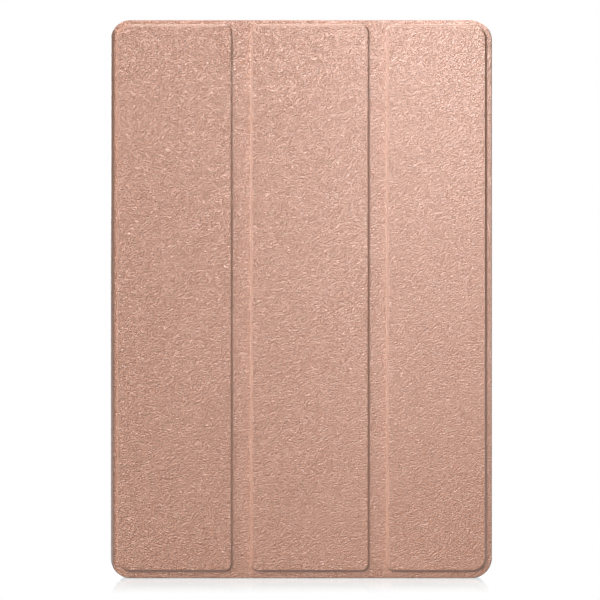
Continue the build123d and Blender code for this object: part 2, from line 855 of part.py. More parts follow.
# ---- tablet: antennas along the top and the spine side ----
antenna_depth = 0.25
antenna_front = housing_floor - antenna_depth
short_antenna_x = tablet_x - 66.0
short_antenna_z = tablet_top - 10.0
short_antenna_width = 14.0
short_antenna_height = 12.0
long_antenna_x = tablet_x - tablet_width / 2 + 5.0
long_antenna_z = tablet_z + 75.0
long_antenna_width = 5.0
long_antenna_height = 46.0
pieces["antenna_wifi"] = block(
    short_antenna_x, short_antenna_z, short_antenna_width, short_antenna_height, antenna_front, housing_floor
)
pieces["antenna_main"] = block(
    long_antenna_x, long_antenna_z, long_antenna_width, long_antenna_height, antenna_front, housing_floor
)

# ---- tablet: buttons, their dome switches and the card tray ----
flange_x = inner_right - flange_gap - flange_depth
flange_height = button_height + 0.2
flange_corner = 0.5
for name, z, length in (("power_button", power_z, power_length), ("volume_rocker", volume_z, volume_length)):
    with BuildPart() as button:
        with BuildSketch(Plane.YZ.offset(flange_x)):
            with Locations((side_y, z)):
                RectangleRounded(flange_height, length + 2 * flange_grow, flange_corner)
        extrude(amount=flange_depth)
        with BuildSketch(Plane.YZ.offset(flange_x)):
            with Locations((side_y, z)):
                SlotOverall(length, button_height, rotation=90)
        extrude(amount=tablet_right + button_proud - flange_x)
        chamfer(button.edges().group_by(Axis.X)[-1], edge_chamfer)
    pieces[name] = button

flex_front_x = flange_x - dome_room - dome_depth
flex_room = 2.0
flex_offset = 0.4
flex_band = 2.6
flex_corner = 0.5
dome_taper = 25
flex_low = volume_z - volume_length / 2 - flex_room
flex_high = power_z + power_length / 2 + flex_room
with BuildPart() as button_flex:
    with BuildSketch(Plane.YZ.offset(flex_front_x - flex_depth)):
        with Locations((side_y + flex_offset, (flex_low + flex_high) / 2)):
            RectangleRounded(flex_band, flex_high - flex_low, flex_corner)
    extrude(amount=flex_depth)
    with BuildSketch(Plane.YZ.offset(flex_front_x)):
        with Locations(
            (side_y, power_z),
            (side_y, volume_z - volume_dome_reach),
            (side_y, volume_z + volume_dome_reach),
        ):
            Circle(dome_radius)
    extrude(amount=dome_depth, taper=dome_taper)
pieces["button_flex"] = button_flex

card_corner = 0.8
pocket_length = 9.6
pocket_corner = 0.5
first_pocket = 6.6
second_pocket = 17.6
plate_overlap = 0.1
pin_hole = 0.45
pin_inset = 1.6
card_end = tablet_right - card_plate
card_start = card_end - card_length
card_front = side_y - card_depth / 2
with BuildPart() as card_tray:
    with BuildSketch(facing(card_front + card_depth)):
        with Locations(((card_start + card_end) / 2, card_z)):
            RectangleRounded(card_length, card_width, card_corner)
    extrude(amount=card_depth)
    # one pocket for each card
    with BuildSketch(facing(card_front + card_depth - card_floor)):
        with Locations((card_start + first_pocket, card_z), (card_start + second_pocket, card_z)):
            RectangleRounded(pocket_length, card_width - 2 * card_rim, pocket_corner)
    extrude(amount=card_depth, mode=Mode.SUBTRACT)
    with BuildSketch(Plane.YZ.offset(card_end - plate_overlap)):
        with Locations((side_y, card_z)):
            SlotOverall(card_plate_length, card_plate_height, rotation=90)
    extrude(amount=card_plate + plate_overlap)
    # hole for the eject pin
    with BuildSketch(Plane.YZ.offset(card_end - plate_overlap)):
        with Locations((side_y, card_z + card_plate_length / 2 - pin_inset)):
            Circle(pin_hole)
    extrude(amount=card_plate + plate_overlap, mode=Mode.SUBTRACT)
pieces["card_tray"] = card_tray

reader_depth = card_depth + 2 * card_room
reader_length = card_length - 1.0
reader_back = 0.8
reader_floor = 0.5
with BuildPart() as card_reader:
    with BuildSketch(Plane.YZ.offset(card_start - reader_back)):
        with Locations((side_y, card_z)):
            Rectangle(reader_depth + 2 * reader_wall, card_width + 2 * card_room + 2 * reader_wall)
    extrude(amount=reader_length)
    with BuildSketch(Plane.YZ.offset(card_start - reader_back + reader_floor)):
        with Locations((side_y, card_z)):
            Rectangle(reader_depth, card_width + 2 * card_room)
    extrude(amount=reader_length, mode=Mode.SUBTRACT)
pieces["card_reader"] = card_reader

# ---- tablet: graphite sheet and screws ----
sheet_gap = 0.02
sheet_depth = 0.12
sheet_height = cell_height - 6.0
sheet_corner = 3.0
with BuildPart() as graphite_sheet:
    with BuildSketch(facing(housing_floor - sheet_gap)):
        with Locations((tablet_x, cell_z)):
            RectangleRounded(2 * cell_width, sheet_height, sheet_corner)
    extrude(amount=sheet_depth)
pieces["graphite_sheet"] = graphite_sheet

screw_head = 1.7
screw_head_depth = 0.6
screw_shank = 0.95
with BuildPart() as screws:
    with BuildSketch(facing(pcb_front)):
        with Locations((board_x, board_z)):
            with GridLocations(mount_span_x, mount_span_z, 2, 2):
                Circle(screw_head)
    extrude(amount=screw_head_depth)
    with BuildSketch(facing(pcb_back)):
        with Locations((board_x, board_z)):
            with GridLocations(mount_span_x, mount_span_z, 2, 2):
                Circle(screw_shank)
    extrude(amount=pcb)
pieces["screws"] = screws

os.makedirs("parts", exist_ok=True)
for name, piece in pieces.items():
    piece.part.label = name
    export_step(piece.part, f"parts/{name}.step")
print(len(pieces), "pieces")
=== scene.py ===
import json
import math

import bmesh
import bpy
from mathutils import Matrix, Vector


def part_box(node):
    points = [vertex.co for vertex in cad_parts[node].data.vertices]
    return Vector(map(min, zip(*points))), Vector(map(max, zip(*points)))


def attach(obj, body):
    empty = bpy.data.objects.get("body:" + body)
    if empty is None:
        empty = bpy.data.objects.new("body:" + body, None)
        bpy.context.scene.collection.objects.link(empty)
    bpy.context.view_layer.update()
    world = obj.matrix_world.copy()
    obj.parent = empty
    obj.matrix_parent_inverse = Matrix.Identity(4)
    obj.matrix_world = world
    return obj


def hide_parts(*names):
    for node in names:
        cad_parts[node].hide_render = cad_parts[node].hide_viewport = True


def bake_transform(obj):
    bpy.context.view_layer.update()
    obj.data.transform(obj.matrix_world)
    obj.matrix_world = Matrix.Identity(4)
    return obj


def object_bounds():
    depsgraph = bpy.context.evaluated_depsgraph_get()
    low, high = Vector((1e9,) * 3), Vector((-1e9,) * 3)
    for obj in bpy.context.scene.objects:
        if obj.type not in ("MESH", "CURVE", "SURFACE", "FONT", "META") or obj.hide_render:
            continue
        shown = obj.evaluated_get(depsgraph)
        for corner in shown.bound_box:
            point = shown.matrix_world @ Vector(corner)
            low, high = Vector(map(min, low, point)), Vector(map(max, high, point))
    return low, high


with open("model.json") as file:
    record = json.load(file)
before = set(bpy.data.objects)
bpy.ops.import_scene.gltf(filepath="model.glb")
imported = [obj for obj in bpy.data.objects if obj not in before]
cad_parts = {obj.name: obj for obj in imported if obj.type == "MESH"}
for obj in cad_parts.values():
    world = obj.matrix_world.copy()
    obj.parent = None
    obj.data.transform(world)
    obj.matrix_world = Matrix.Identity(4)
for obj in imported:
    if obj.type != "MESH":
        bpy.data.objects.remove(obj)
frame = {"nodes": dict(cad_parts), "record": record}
cadLow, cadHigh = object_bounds()
nodes = frame["nodes"]
mm = 0.001
print("frame loaded:", len(nodes), "nodes")

# places taken from the frame
folio = {
    "corner": 9.2 * mm,  # outline radius
    "roll": 0.45 * mm,  # rounding of the cut edges
    "foldRadius": 3.0 * mm,
}
halfWidth = (cadHigh.x - cadLow.x) / 2
halfHeight = (cadHigh.z - cadLow.z) / 2
midHeight = (cadHigh.z + cadLow.z) / 2
backFace = cadHigh.y


panelBox = {side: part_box(f"panel_{side}_skin") for side in ("left", "mid", "right")}
stripLow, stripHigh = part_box("fold_left_skin")
crestFace = panelBox["mid"][0].y  # front of the raised panels
glueFace = panelBox["mid"][1].y  # back of the skin
marginFace = glueFace - (stripHigh.y - stripLow.y)  # front of the margins and channels
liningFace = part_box("panel_mid_lining")[1].y
foldX = panelBox["left"][0].x


# outline of the folio
def outlineDepth(x, z):
    # how far inside the rounded outline a place is
    qx = abs(x) - (halfWidth - folio["corner"])
    qz = abs(z - midHeight) - (halfHeight - folio["corner"])
    outside = math.hypot(max(qx, 0.0), max(qz, 0.0)) + min(max(qx, qz), 0.0) - folio["corner"]
    return -outside


def rollDrop(depth, roll):
    # how far the skin has turned back at this depth inside a cut edge
    if depth >= roll:
        return 0.0
    return roll - math.sqrt(max(0.0, roll * roll - (roll - max(depth, 0.0)) ** 2))


def topAt(x, inset=0.0):
    # height of the outline's top above its middle, at a place across it
    radius = folio["corner"] - inset
    beyond = abs(x) - (halfWidth - folio["corner"])
    if beyond <= 0:
        return halfHeight - inset
    return halfHeight - folio["corner"] + math.sqrt(max(0.0, radius * radius - beyond * beyond))


def walkOut(place, inset, xLow, xHigh):
    # from a place on the panel, outwards to the panel's own edge
    x, z, dx, dz = place
    near, far = 0.0, 0.05
    for step in range(40):
        middle = (near + far) / 2
        px, pz = x + dx * middle, z + dz * middle
        if xLow <= px <= xHigh and outlineDepth(px, pz) >= inset:
            near = middle
        else:
            far = middle
    return x + dx * near, z + dz * near


def roundedLoop(xLow, xHigh, zLow, zHigh, leftRadius, rightRadius, counts):
    # places round a rectangle with rounded corners, each with its outward direction
    corners = (
        (xHigh - rightRadius, zLow + rightRadius, rightRadius, -90),
        (xHigh - rightRadius, zHigh - rightRadius, rightRadius, 0),
        (xLow + leftRadius, zHigh - leftRadius, leftRadius, 90),
        (xLow + leftRadius, zLow + leftRadius, leftRadius, 180),
    )
    loop = []
    for corner in range(4):
        cx, cz, radius, start = corners[corner]
        nx, nz, nextRadius, nextStart = corners[(corner + 1) % 4]
        for step in range(counts["corner"] + 1):
            angle = math.radians(start + 90 * step / counts["corner"])
            dx, dz = math.cos(angle), math.sin(angle)
            loop.append((cx + radius * dx, cz + radius * dz, dx, dz))
        angle = math.radians(start + 90)
        dx, dz = math.cos(angle), math.sin(angle)
        ax, az = cx + radius * dx, cz + radius * dz
        bx, bz = nx + nextRadius * dx, nz + nextRadius * dz
        side = counts["long"] if corner % 2 == 0 else counts["short"]
        for step in range(1, side):
            share = step / side
            loop.append((ax + (bx - ax) * share, az + (bz - az) * share, dx, dz))
    return loop


# mesh making
def growRings(bm, rings, capFirst, capLast):
    # a circle laid on the first ring, extruded to each of the others in turn
    count = len(rings[0])
    made = bmesh.ops.create_circle(bm, cap_ends=False, segments=count, radius=mm)
    loop = list(made["verts"])
    for vert, place in zip(loop, rings[0]):
        vert.co = Vector(place)
    if capFirst:
        bmesh.ops.contextual_create(bm, geom=loop)
    for ring in rings[1:]:
        order = {vert: index for index, vert in enumerate(loop)}
        edges = [bm.edges.get((loop[index - 1], loop[index])) for index in range(count)]
        grown = bmesh.ops.extrude_edge_only(bm, edges=edges)
        fresh = [item for item in grown["geom"] if isinstance(item, bmesh.types.BMVert)]
        follower = [None] * count
        for vert in fresh:
            for edge in vert.link_edges:
                index = order.get(edge.other_vert(vert))
                if index is not None:
                    follower[index] = vert
        loop = follower
        for vert, place in zip(loop, ring):
            vert.co = Vector(place)
    if capLast:
        bmesh.ops.contextual_create(bm, geom=loop)
    return loop


def finishPiece(bm, name, material, sharpAngle=38):
    bmesh.ops.remove_doubles(bm, verts=bm.verts, dist=0.002 * mm)
    bmesh.ops.dissolve_degenerate(bm, edges=bm.edges, dist=0.001 * mm)
    bmesh.ops.recalc_face_normals(bm, faces=bm.faces)
    mesh = bpy.data.meshes.new(name)
    bm.to_mesh(mesh)
    bm.free()
    mesh.shade_smooth()
    mesh.set_sharp_from_angle(angle=math.radians(sharpAngle))
    mesh.materials.append(material)
    piece = bpy.data.objects.new(name, mesh)
    bpy.context.scene.collection.objects.link(piece)
    return piece


# materials
def startMaterial(name, color, roughness, metallic=0.0, specular=0.5):
    material = bpy.data.materials.new(name)
    material.use_nodes = True
    shader = material.node_tree.nodes["Principled BSDF"]
    shader.inputs["Base Color"].default_value = (*color, 1)
    shader.inputs["Roughness"].default_value = roughness
    shader.inputs["Metallic"].default_value = metallic
    shader.inputs["Specular IOR Level"].default_value = specular
    return material, shader


def addNode(material, kind, **settings):
    node = material.node_tree.nodes.new(kind)
    for key, value in settings.items():
        if key in node.inputs:
            node.inputs[key].default_value = value
        else:
            setattr(node, key, value)
    return node


def wire(material, output, target):
    material.node_tree.links.new(output, target)


def addNoise(material, place, scale, detail=2.0, roughness=0.5, distortion=0.0):
    noise = addNode(material, "ShaderNodeTexNoise")
    noise.inputs["Scale"].default_value = scale
    noise.inputs["Detail"].default_value = detail
    noise.inputs["Roughness"].default_value = roughness
    noise.inputs["Distortion"].default_value = distortion
    wire(material, place, noise.inputs["Vector"])
    return noise


def addRange(material, value, fromLow, fromHigh, toLow, toHigh, smooth=True):
    node = addNode(material, "ShaderNodeMapRange")
    node.interpolation_type = "SMOOTHSTEP" if smooth else "LINEAR"
    for index, number in enumerate((fromLow, fromHigh, toLow, toHigh)):
        node.inputs[index + 1].default_value = number
    wire(material, value, node.inputs[0])
    return node.outputs[0]


def addMath(material, operation, first, second):
    node = addNode(material, "ShaderNodeMath")
    node.operation = operation
    for index, item in enumerate((first, second)):
        if isinstance(item, (int, float)):
            node.inputs[index].default_value = item
        else:
            wire(material, item, node.inputs[index])
    return node.outputs[0]


def addMix(material, factor, first, second, blend="MIX"):
    node = addNode(material, "ShaderNodeMix")
    node.data_type = "RGBA"
    node.blend_type = blend
    for socket, item in ((node.inputs[0], factor), (node.inputs[6], first), (node.inputs[7], second)):
        if isinstance(item, tuple):
            socket.default_value = (*item, 1)
        elif isinstance(item, (int, float)):
            socket.default_value = item
        else:
            wire(material, item, socket)
    return node.outputs[2]


def addBump(material, shader, height, strength, depth):
    bump = addNode(material, "ShaderNodeBump")
    bump.inputs["Strength"].default_value = strength
    bump.inputs["Distance"].default_value = depth
    wire(material, height, bump.inputs["Height"])
    wire(material, bump.outputs[0], shader.inputs["Normal"])


def objectPlace(material):
    return addNode(material, "ShaderNodeTexCoord").outputs["Object"]


leather = {
    "color": (0.635, 0.301, 0.193),
    # the grain's creases are painted darker, as shade
    "creaseShadeColor": (0.42, 0.18, 0.111),
    "highColor": (0.68, 0.345, 0.234),
    "roughness": 0.44,
    "grain": 1250.0,  # grains in a metre
    "grainDepth": 0.34 * mm,
    "grainShape": (1.0, 1.0, 1.35),  # the grain runs a little wider than it is tall
    "wormGrain": 937.5,
    "pullScale": 300.0,
    "pull": 2.2 * mm,  # how far the grain is pulled out of shape
    "pressAtSpine": 1.45,  # the grain is pressed deeper towards the spine
    "pressAtEdge": 0.62,
    "stretchedPress": 0.35,
    "stretchedRoughness": 0.25,
    "stretchedGloss": 2.0,  # refraction of the skin's top coat where it is stretched
    "stretchedHighlightTint": (0.92, 1.03, 1.06),  # the skin's colour on the slopes round an edge, as a share of its own: partly the stretched skin's own paler tone, partly a painted highlight tone
    "waveScale": 22.0,
    "wave": 0.8,  # height of the broad soft waves in the pressed sheet, as a share of the grain
    "blotchScale": 34.0,
    "blotch": 0.2,
}


def makeLeather():
    material, shader = startMaterial("roseLeather", leather["color"], leather["roughness"])
    coordinates = addNode(material, "ShaderNodeTexCoord")
    place = coordinates.outputs["Object"]
    flat = addNode(material, "ShaderNodeMapping")
    flat.inputs["Scale"].default_value = leather["grainShape"]
    wire(material, place, flat.inputs["Vector"])

    # the grain is pulled out of shape, so that it runs together in short worms
    warp = addNoise(material, place, leather["pullScale"], 1.0)
    pull = addNode(material, "ShaderNodeVectorMath", operation="SCALE")
    wire(material, warp.outputs["Color"], pull.inputs[0])
    pull.inputs["Scale"].default_value = leather["pull"]
    moved = addNode(material, "ShaderNodeVectorMath", operation="ADD")
    wire(material, flat.outputs[0], moved.inputs[0])
    wire(material, pull.outputs[0], moved.inputs[1])
    pebbles = addNoise(material, moved.outputs[0], leather["grain"], 1.0, 0.6)
    pebble = addRange(material, pebbles.outputs["Fac"], 0.26, 0.74, 0.0, 1.0, smooth=False)
    worms = addNoise(material, moved.outputs[0], leather["wormGrain"], 0.0)
    away = addMath(material, "ABSOLUTE", addMath(material, "SUBTRACT", worms.outputs["Fac"], 0.5), 0)
    worm = addRange(material, away, 0.0, 0.12, 0.0, 1.0)  # a crease where the noise passes its middle
    height = addMath(material, "MULTIPLY", pebble, 0.7)
    height = addMath(material, "ADD", height, addMath(material, "MULTIPLY", worm, 0.3))

    # where the skin is stretched round an edge, its grain is flatter and glossier
    facing = addNode(material, "ShaderNodeSeparateXYZ")
    wire(material, coordinates.outputs["Normal"], facing.inputs[0])
    facingOut = addMath(material, "ABSOLUTE", facing.outputs["Y"], 0)
    flatness = addRange(material, facingOut, 0.72, 0.97, 0.0, 1.0)
    axes = addNode(material, "ShaderNodeSeparateXYZ")
    wire(material, place, axes.inputs[0])
    across = (-halfWidth, halfWidth, leather["pressAtSpine"], leather["pressAtEdge"])
    press = addRange(material, axes.outputs["X"], *across)
    kept = addRange(material, flatness, 0.0, 1.0, leather["stretchedPress"], 1.0)
    press = addMath(material, "MULTIPLY", press, kept)
    wave = addNoise(material, place, leather["waveScale"], 2.0)
    tall = addMath(material, "MULTIPLY", height, press)
    tall = addMath(material, "ADD", tall, addMath(material, "MULTIPLY", wave.outputs["Fac"], leather["wave"]))
    addBump(material, shader, tall, 1.0, leather["grainDepth"])

    # colour: painted shade in the grain's creases, paler in soft blotches
    tone = addRange(material, height, 0.12, 0.62, 0.0, 1.0)
    base = addMix(material, tone, leather["creaseShadeColor"], leather["color"])
    blotches = addNoise(material, place, leather["blotchScale"], 3.0, 0.6)
    lift = addRange(material, blotches.outputs["Fac"], 0.35, 0.75, 0.0, leather["blotch"])
    relaxed = addMix(material, lift, base, leather["highColor"])
    # on the slopes round the raised faces the colour turns paler and cooler, partly the stretched skin's own tone
    # and partly a painted highlight
    edgeHighlightTone = addMix(material, 1.0, relaxed, leather["stretchedHighlightTint"], blend="MULTIPLY")
    wire(material, addMix(material, flatness, edgeHighlightTone, relaxed), shader.inputs["Base Color"])

    # gloss: smoother on top of the grain, with a glossy top coat where the skin is stretched
    gloss = addRange(material, flatness, 0.0, 1.0, leather["stretchedRoughness"], leather["roughness"])
    gloss = addMath(material, "ADD", gloss, addRange(material, height, 0.1, 1.0, 0.08, -0.03))
    wire(material, gloss, shader.inputs["Roughness"])
    wire(material, addRange(material, flatness, 0.0, 1.0, 1.0, 0.0), shader.inputs["Coat Weight"])
    shader.inputs["Coat Roughness"].default_value = leather["stretchedRoughness"]
    shader.inputs["Coat IOR"].default_value = leather["stretchedGloss"]
    return material


microfibre = {
    "color": (0.30, 0.255, 0.235),
    "dark": (0.215, 0.18, 0.165),
    "nap": 3200.0,
    "napDepth": 0.12 * mm,
    "stroke": 60.0,  # marks in a metre, where the nap is brushed another way
    "sheen": 0.35,
}


def makeMicrofibre():
    material, shader = startMaterial("greyMicrofibre", microfibre["color"], 0.95, specular=0.15)
    place = objectPlace(material)
    nap = addNoise(material, place, microfibre["nap"], 3.0, 0.7)
    stroke = addNoise(material, place, microfibre["stroke"], 3.0, 0.6, 1.5)
    factor = addRange(material, stroke.outputs["Fac"], 0.35, 0.7, 0.0, 0.7)
    base = addMix(material, factor, microfibre["color"], microfibre["dark"])
    specks = addRange(material, nap.outputs["Fac"], 0.3, 0.7, 0.0, 0.45)
    wire(material, addMix(material, specks, base, microfibre["dark"]), shader.inputs["Base Color"])
    shader.inputs["Sheen Weight"].default_value = microfibre["sheen"]
    shader.inputs["Sheen Roughness"].default_value = 0.4
    addBump(material, shader, nap.outputs["Fac"], 0.5, microfibre["napDepth"])
    return material


def makePlain(name, color, dark, roughness, metallic, scale, grain, streak=0.0):
    # one colour with grain, uneven gloss and slight stains
    material, shader = startMaterial(name, color, roughness, metallic)
    place = objectPlace(material)
    stain = addNoise(material, place, 45.0, 3.0, 0.6, streak)
    factor = addRange(material, stain.outputs["Fac"], 0.35, 0.7, 0.0, 1.0)
    wire(material, addMix(material, factor, color, dark), shader.inputs["Base Color"])
    spread = addRange(material, stain.outputs["Fac"], 0.3, 0.75, roughness - 0.04, roughness + 0.06)
    wire(material, spread, shader.inputs["Roughness"])
    texture = addNoise(material, place, scale, 2.0, 0.6)
    addBump(material, shader, texture.outputs["Fac"], 0.4, grain)
    return material


circuitBoard = {
    "mask": (0.013, 0.085, 0.045),
    "track": (0.03, 0.16, 0.08),
    "roughness": 0.35,
    "tracks": 260.0,
    "trackDepth": 0.03 * mm,
}


def makeBoard():
    # solder mask with tracks
    material, shader = startMaterial("greenBoard", circuitBoard["mask"], circuitBoard["roughness"])
    place = objectPlace(material)
    tracks = addNode(material, "ShaderNodeTexBrick")
    tracks.inputs["Scale"].default_value = circuitBoard["tracks"]
    tracks.inputs["Mortar Size"].default_value = 0.09
    turned = addNode(material, "ShaderNodeMapping")
    turned.inputs["Rotation"].default_value = (math.radians(90), 0, 0)
    wire(material, place, turned.inputs["Vector"])
    wire(material, turned.outputs[0], tracks.inputs["Vector"])
    base = addMix(material, tracks.outputs["Fac"], circuitBoard["mask"], circuitBoard["track"])
    wire(material, base, shader.inputs["Base Color"])
    addBump(material, shader, tracks.outputs["Fac"], 0.4, circuitBoard["trackDepth"])
    return material


screen = {
    "border": (0.0025, 0.0025, 0.003),
    "window": (0.007, 0.007, 0.009),
    "roughness": 0.06,
    "smudge": 0.07,  # how much rougher a smudge is
    "shown": 1.5 * mm,  # the window stops this far inside the display's edge
    "coat": 0.4,
    "coatRoughness": 0.03,
}


def makeCoverGlass():
    # black print under the border, and a clear window over the display
    material, shader = startMaterial("blackBorderGlass", screen["border"], screen["roughness"])
    place = objectPlace(material)
    axes = addNode(material, "ShaderNodeSeparateXYZ")
    wire(material, place, axes.inputs[0])
    low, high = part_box("display_panel")
    factor = None
    for axis, a, b in (("X", low.x, high.x), ("Z", low.z, high.z)):
        middle, half = (a + b) / 2, (b - a) / 2 - screen["shown"]
        away = addMath(material, "ABSOLUTE", addMath(material, "SUBTRACT", axes.outputs[axis], middle), 0)
        inside = addMath(material, "LESS_THAN", away, half)
        factor = inside if factor is None else addMath(material, "MULTIPLY", factor, inside)
    smudge = addNoise(material, place, 30.0, 4.0, 0.65, 0.8)
    rough = screen["roughness"] + screen["smudge"]
    haze = addRange(material, smudge.outputs["Fac"], 0.4, 0.8, screen["roughness"], rough)
    wire(material, haze, shader.inputs["Roughness"])
    wire(material, addMix(material, factor, screen["border"], screen["window"]), shader.inputs["Base Color"])
    shader.inputs["Coat Weight"].default_value = screen["coat"]
    shader.inputs["Coat Roughness"].default_value = screen["coatRoughness"]
    return material


# name, colour, stain colour, roughness, metal, grain in a metre, depth of the grain
finishes = {
    "stiffener": ("greyFibreboard", (0.47, 0.44, 0.39), (0.38, 0.35, 0.31), 0.85, 0.0, 1500.0, 0.05 * mm),
    "magnet": ("nickelMagnet", (0.55, 0.55, 0.56), (0.45, 0.45, 0.46), 0.25, 1.0, 900.0, 0.01 * mm),
    "tray": ("rosePlastic", (0.56, 0.29, 0.205), (0.52, 0.265, 0.185), 0.5, 0.0, 2200.0, 0.03 * mm),
    "housing": ("blastedAluminium", (0.45, 0.455, 0.47), (0.41, 0.415, 0.43), 0.38, 0.9, 3000.0, 0.02 * mm),
    "mid_frame": ("castAluminium", (0.33, 0.34, 0.35), (0.27, 0.28, 0.29), 0.55, 0.9, 900.0, 0.05 * mm),
    "lens_glass": ("coatedLens", (0.01, 0.012, 0.02), (0.015, 0.01, 0.025), 0.05, 0.0, 60.0, 0.001 * mm),
    "display": ("darkDisplay", (0.008, 0.008, 0.01), (0.01, 0.01, 0.013), 0.12, 0.0, 3000.0, 0.004 * mm),
    "adhesive": ("blackFoamTape", (0.02, 0.02, 0.02), (0.03, 0.03, 0.03), 0.9, 0.0, 2500.0, 0.06 * mm),
    "flex": ("amberFilm", (0.42, 0.16, 0.03), (0.34, 0.12, 0.02), 0.3, 0.0, 400.0, 0.02 * mm),
    "cell": ("blackPouch", (0.03, 0.03, 0.033), (0.045, 0.045, 0.048), 0.35, 0.3, 300.0, 0.05 * mm),
    "shielding": ("tinnedSheet", (0.60, 0.60, 0.58), (0.50, 0.50, 0.48), 0.32, 1.0, 700.0, 0.02 * mm, 1.5),
    "module": ("blackModule", (0.025, 0.025, 0.027), (0.035, 0.035, 0.038), 0.45, 0.0, 1800.0, 0.03 * mm),
    "graphite": ("graphiteFilm", (0.06, 0.06, 0.065), (0.09, 0.09, 0.095), 0.4, 0.4, 500.0, 0.03 * mm),
}
materials = {
    "leather": makeLeather(),
    "lining": makeMicrofibre(),
    "cover_glass": makeCoverGlass(),
    "circuit_board": makeBoard(),
}
for slotName, finish in finishes.items():
    materials[slotName] = makePlain(*finish)
print("materials made:", len(materials))

slotOf = {item["node"]: item["material_slot"] for item in frame["record"]["subparts"]}
for name, node in nodes.items():
    node.data.materials.clear()
    node.data.materials.append(materials[slotOf[name]])
print("frame nodes painted")


# cover panels: skin pressed over a board, with a raised face
panel = {
    "sideMargin": 2.7 * mm,
    "topMargin": 2.5 * mm,
    "bottomMargin": 3.3 * mm,
    "leftCrease": 1.85 * mm,  # from the raised face's left edge to the crease
    "rightCrease": 1.35 * mm,
    "slope": 0.8 * mm,  # half the width of the slope
    "foldSlope": 0.35 * mm,  # the same where the panel meets the spine's fold
    "foldInset": 0.36 * mm,  # the raised face starts this far from the fold
    "outerRadius": 6.4 * mm,
    "innerRadius": 3.4 * mm,
    "skin": 0.8 * mm,
    "faceRing": 0.5 * mm,  # the flat face's outer ring lies this far inside the slope
    "pocketInset": 0.1 * mm,
    "segments": {"corner": 12, "long": 60, "short": 16},
}
rollTurns = (0, 22, 45, 67, 90)  # degrees round a cut edge
slopeSteps = [-1.0, -0.82, -0.64, -0.46, -0.3, -0.15, 0.0, 0.15, 0.3, 0.46, 0.64, 0.82, 1.0]


def raisedShare(step):
    # 1 on the raised face, 0 on the margin, rounded at both ends
    share = (1 - step) / 2
    return share * share * share * (share * (6 * share - 15) + 10)


def makePanel(side, leftSeam, rightSeam, body):
    low, high = panelBox[side]
    seamLow = low.x if leftSeam else -1.0
    seamHigh = high.x if rightSeam else 1.0
    edges = {
        "left": (foldX + panel["foldInset"], low.x + panel["leftCrease"])[side != "left"],
        "right": (high.x - panel["rightCrease"], high.x - panel["sideMargin"])[side == "right"],
    }
    widths = {"left": (panel["foldSlope"], panel["slope"])[side != "left"], "right": panel["slope"]}
    leftRadius = (panel["innerRadius"], panel["outerRadius"])[side == "left"]
    rightRadius = (panel["innerRadius"], panel["outerRadius"])[side == "right"]
    bottom = cadLow.z + panel["bottomMargin"]
    top = cadHigh.z - panel["topMargin"]

    def raisedLoop(step, extra=0.0):
        grow = panel["slope"] * step + extra
        return roundedLoop(
            edges["left"] - widths["left"] * step - extra,
            edges["right"] + widths["right"] * step + extra,
            bottom - grow,
            top + grow,
            leftRadius + grow,
            rightRadius + grow,
            panel["segments"],
        )

    rings = []
    rise = marginFace - crestFace
    inner = raisedLoop(-1.0, -panel["faceRing"])
    rings.append([(x, crestFace, z) for x, z, dx, dz in inner])
    for step in slopeSteps:
        depth = marginFace - rise * raisedShare(step)
        rings.append([(x, depth, z) for x, z, dx, dz in raisedLoop(step)])
    foot = raisedLoop(1.0)

    # the places that fall on a seam's end are put exactly on it
    snapped = {}
    for seam, chosen in ((leftSeam, low.x), (rightSeam, high.x)):
        if not seam:
            continue
        for sign in (-1, 1):
            target = (chosen, midHeight + sign * topAt(chosen))

            def lineUp(index):
                x, z, dx, dz = foot[index]
                return Vector((target[0] - x, target[1] - z)).normalized() @ Vector((dx, dz))

            snapped[max(range(len(foot)), key=lineUp)] = (chosen, sign)

    def edgeLoop(inset):
        loop = []
        for index, place in enumerate(foot):
            if index in snapped:
                chosen, sign = snapped[index]
                x, z = chosen, midHeight + sign * topAt(chosen, inset)
            else:
                x, z = walkOut(place, inset, seamLow, seamHigh)
            loop.append((x, z))
        return loop

    roll = folio["roll"]
    for turn in rollTurns:
        inset = roll * (1 - math.sin(math.radians(turn)))
        loop = edgeLoop(inset)
        rings.append([(x, marginFace + rollDrop(outlineDepth(x, z), roll), z) for x, z in loop])
    outer = edgeLoop(0.0)
    rings.append([(x, glueFace, z) for x, z in outer])
    pocket = raisedLoop(-1.0, -panel["pocketInset"])
    rings.append([(x, glueFace, z) for x, z, dx, dz in pocket])
    rings.append([(x, crestFace + panel["skin"], z) for x, z, dx, dz in pocket])
    bm = bmesh.new()
    growRings(bm, rings, True, True)
    piece = finishPiece(bm, f"{side}PanelSkin", materials["leather"])
    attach(piece, body)
    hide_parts(f"panel_{side}_skin")
    return piece


makePanel("left", True, True, "cover_left")
makePanel("mid", True, True, "cover_mid")
makePanel("right", True, False, "cover_right")
print("cover panels made")


# fold channels: two creased halves between each pair of panels
channel = {
    "bendWidth": 2.0 * mm,  # how far a crease reaches into the channel
    "step": 0.25 * mm,
    "liningRoll": 0.05 * mm,
}
sheetRows = 24  # rows up a thin sheet, between its rolled ends


def slabSection(x, front, back, roll):
    # section of a thin sheet at one place across the folio, up one face and down the other
    top = topAt(x)
    insets = [roll * (1 - math.sin(math.radians(turn))) for turn in reversed(rollTurns)]
    rises = [-top + inset for inset in insets]
    rises += [-top + roll + (2 * top - 2 * roll) * step / sheetRows for step in range(1, sheetRows)]
    rises += [top - inset for inset in reversed(insets)]
    loop = [(x, front + rollDrop(top - abs(rise), roll), midHeight + rise) for rise in rises]
    return loop + [(x, back, midHeight + rise) for rise in reversed(rises)]


def makeStrip(name, span, sheet, node):
    xLow, xHigh = span
    front, back, roll, finish = sheet
    steps = max(2, round((xHigh - xLow) / channel["step"]))
    stations = [xLow + (xHigh - xLow) * step / steps for step in range(steps + 1)]
    bm = bmesh.new()
    growRings(bm, [slabSection(x, front, back, roll) for x in stations], True, True)
    piece = finishPiece(bm, name, materials[finish])
    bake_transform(piece)
    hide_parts(node)


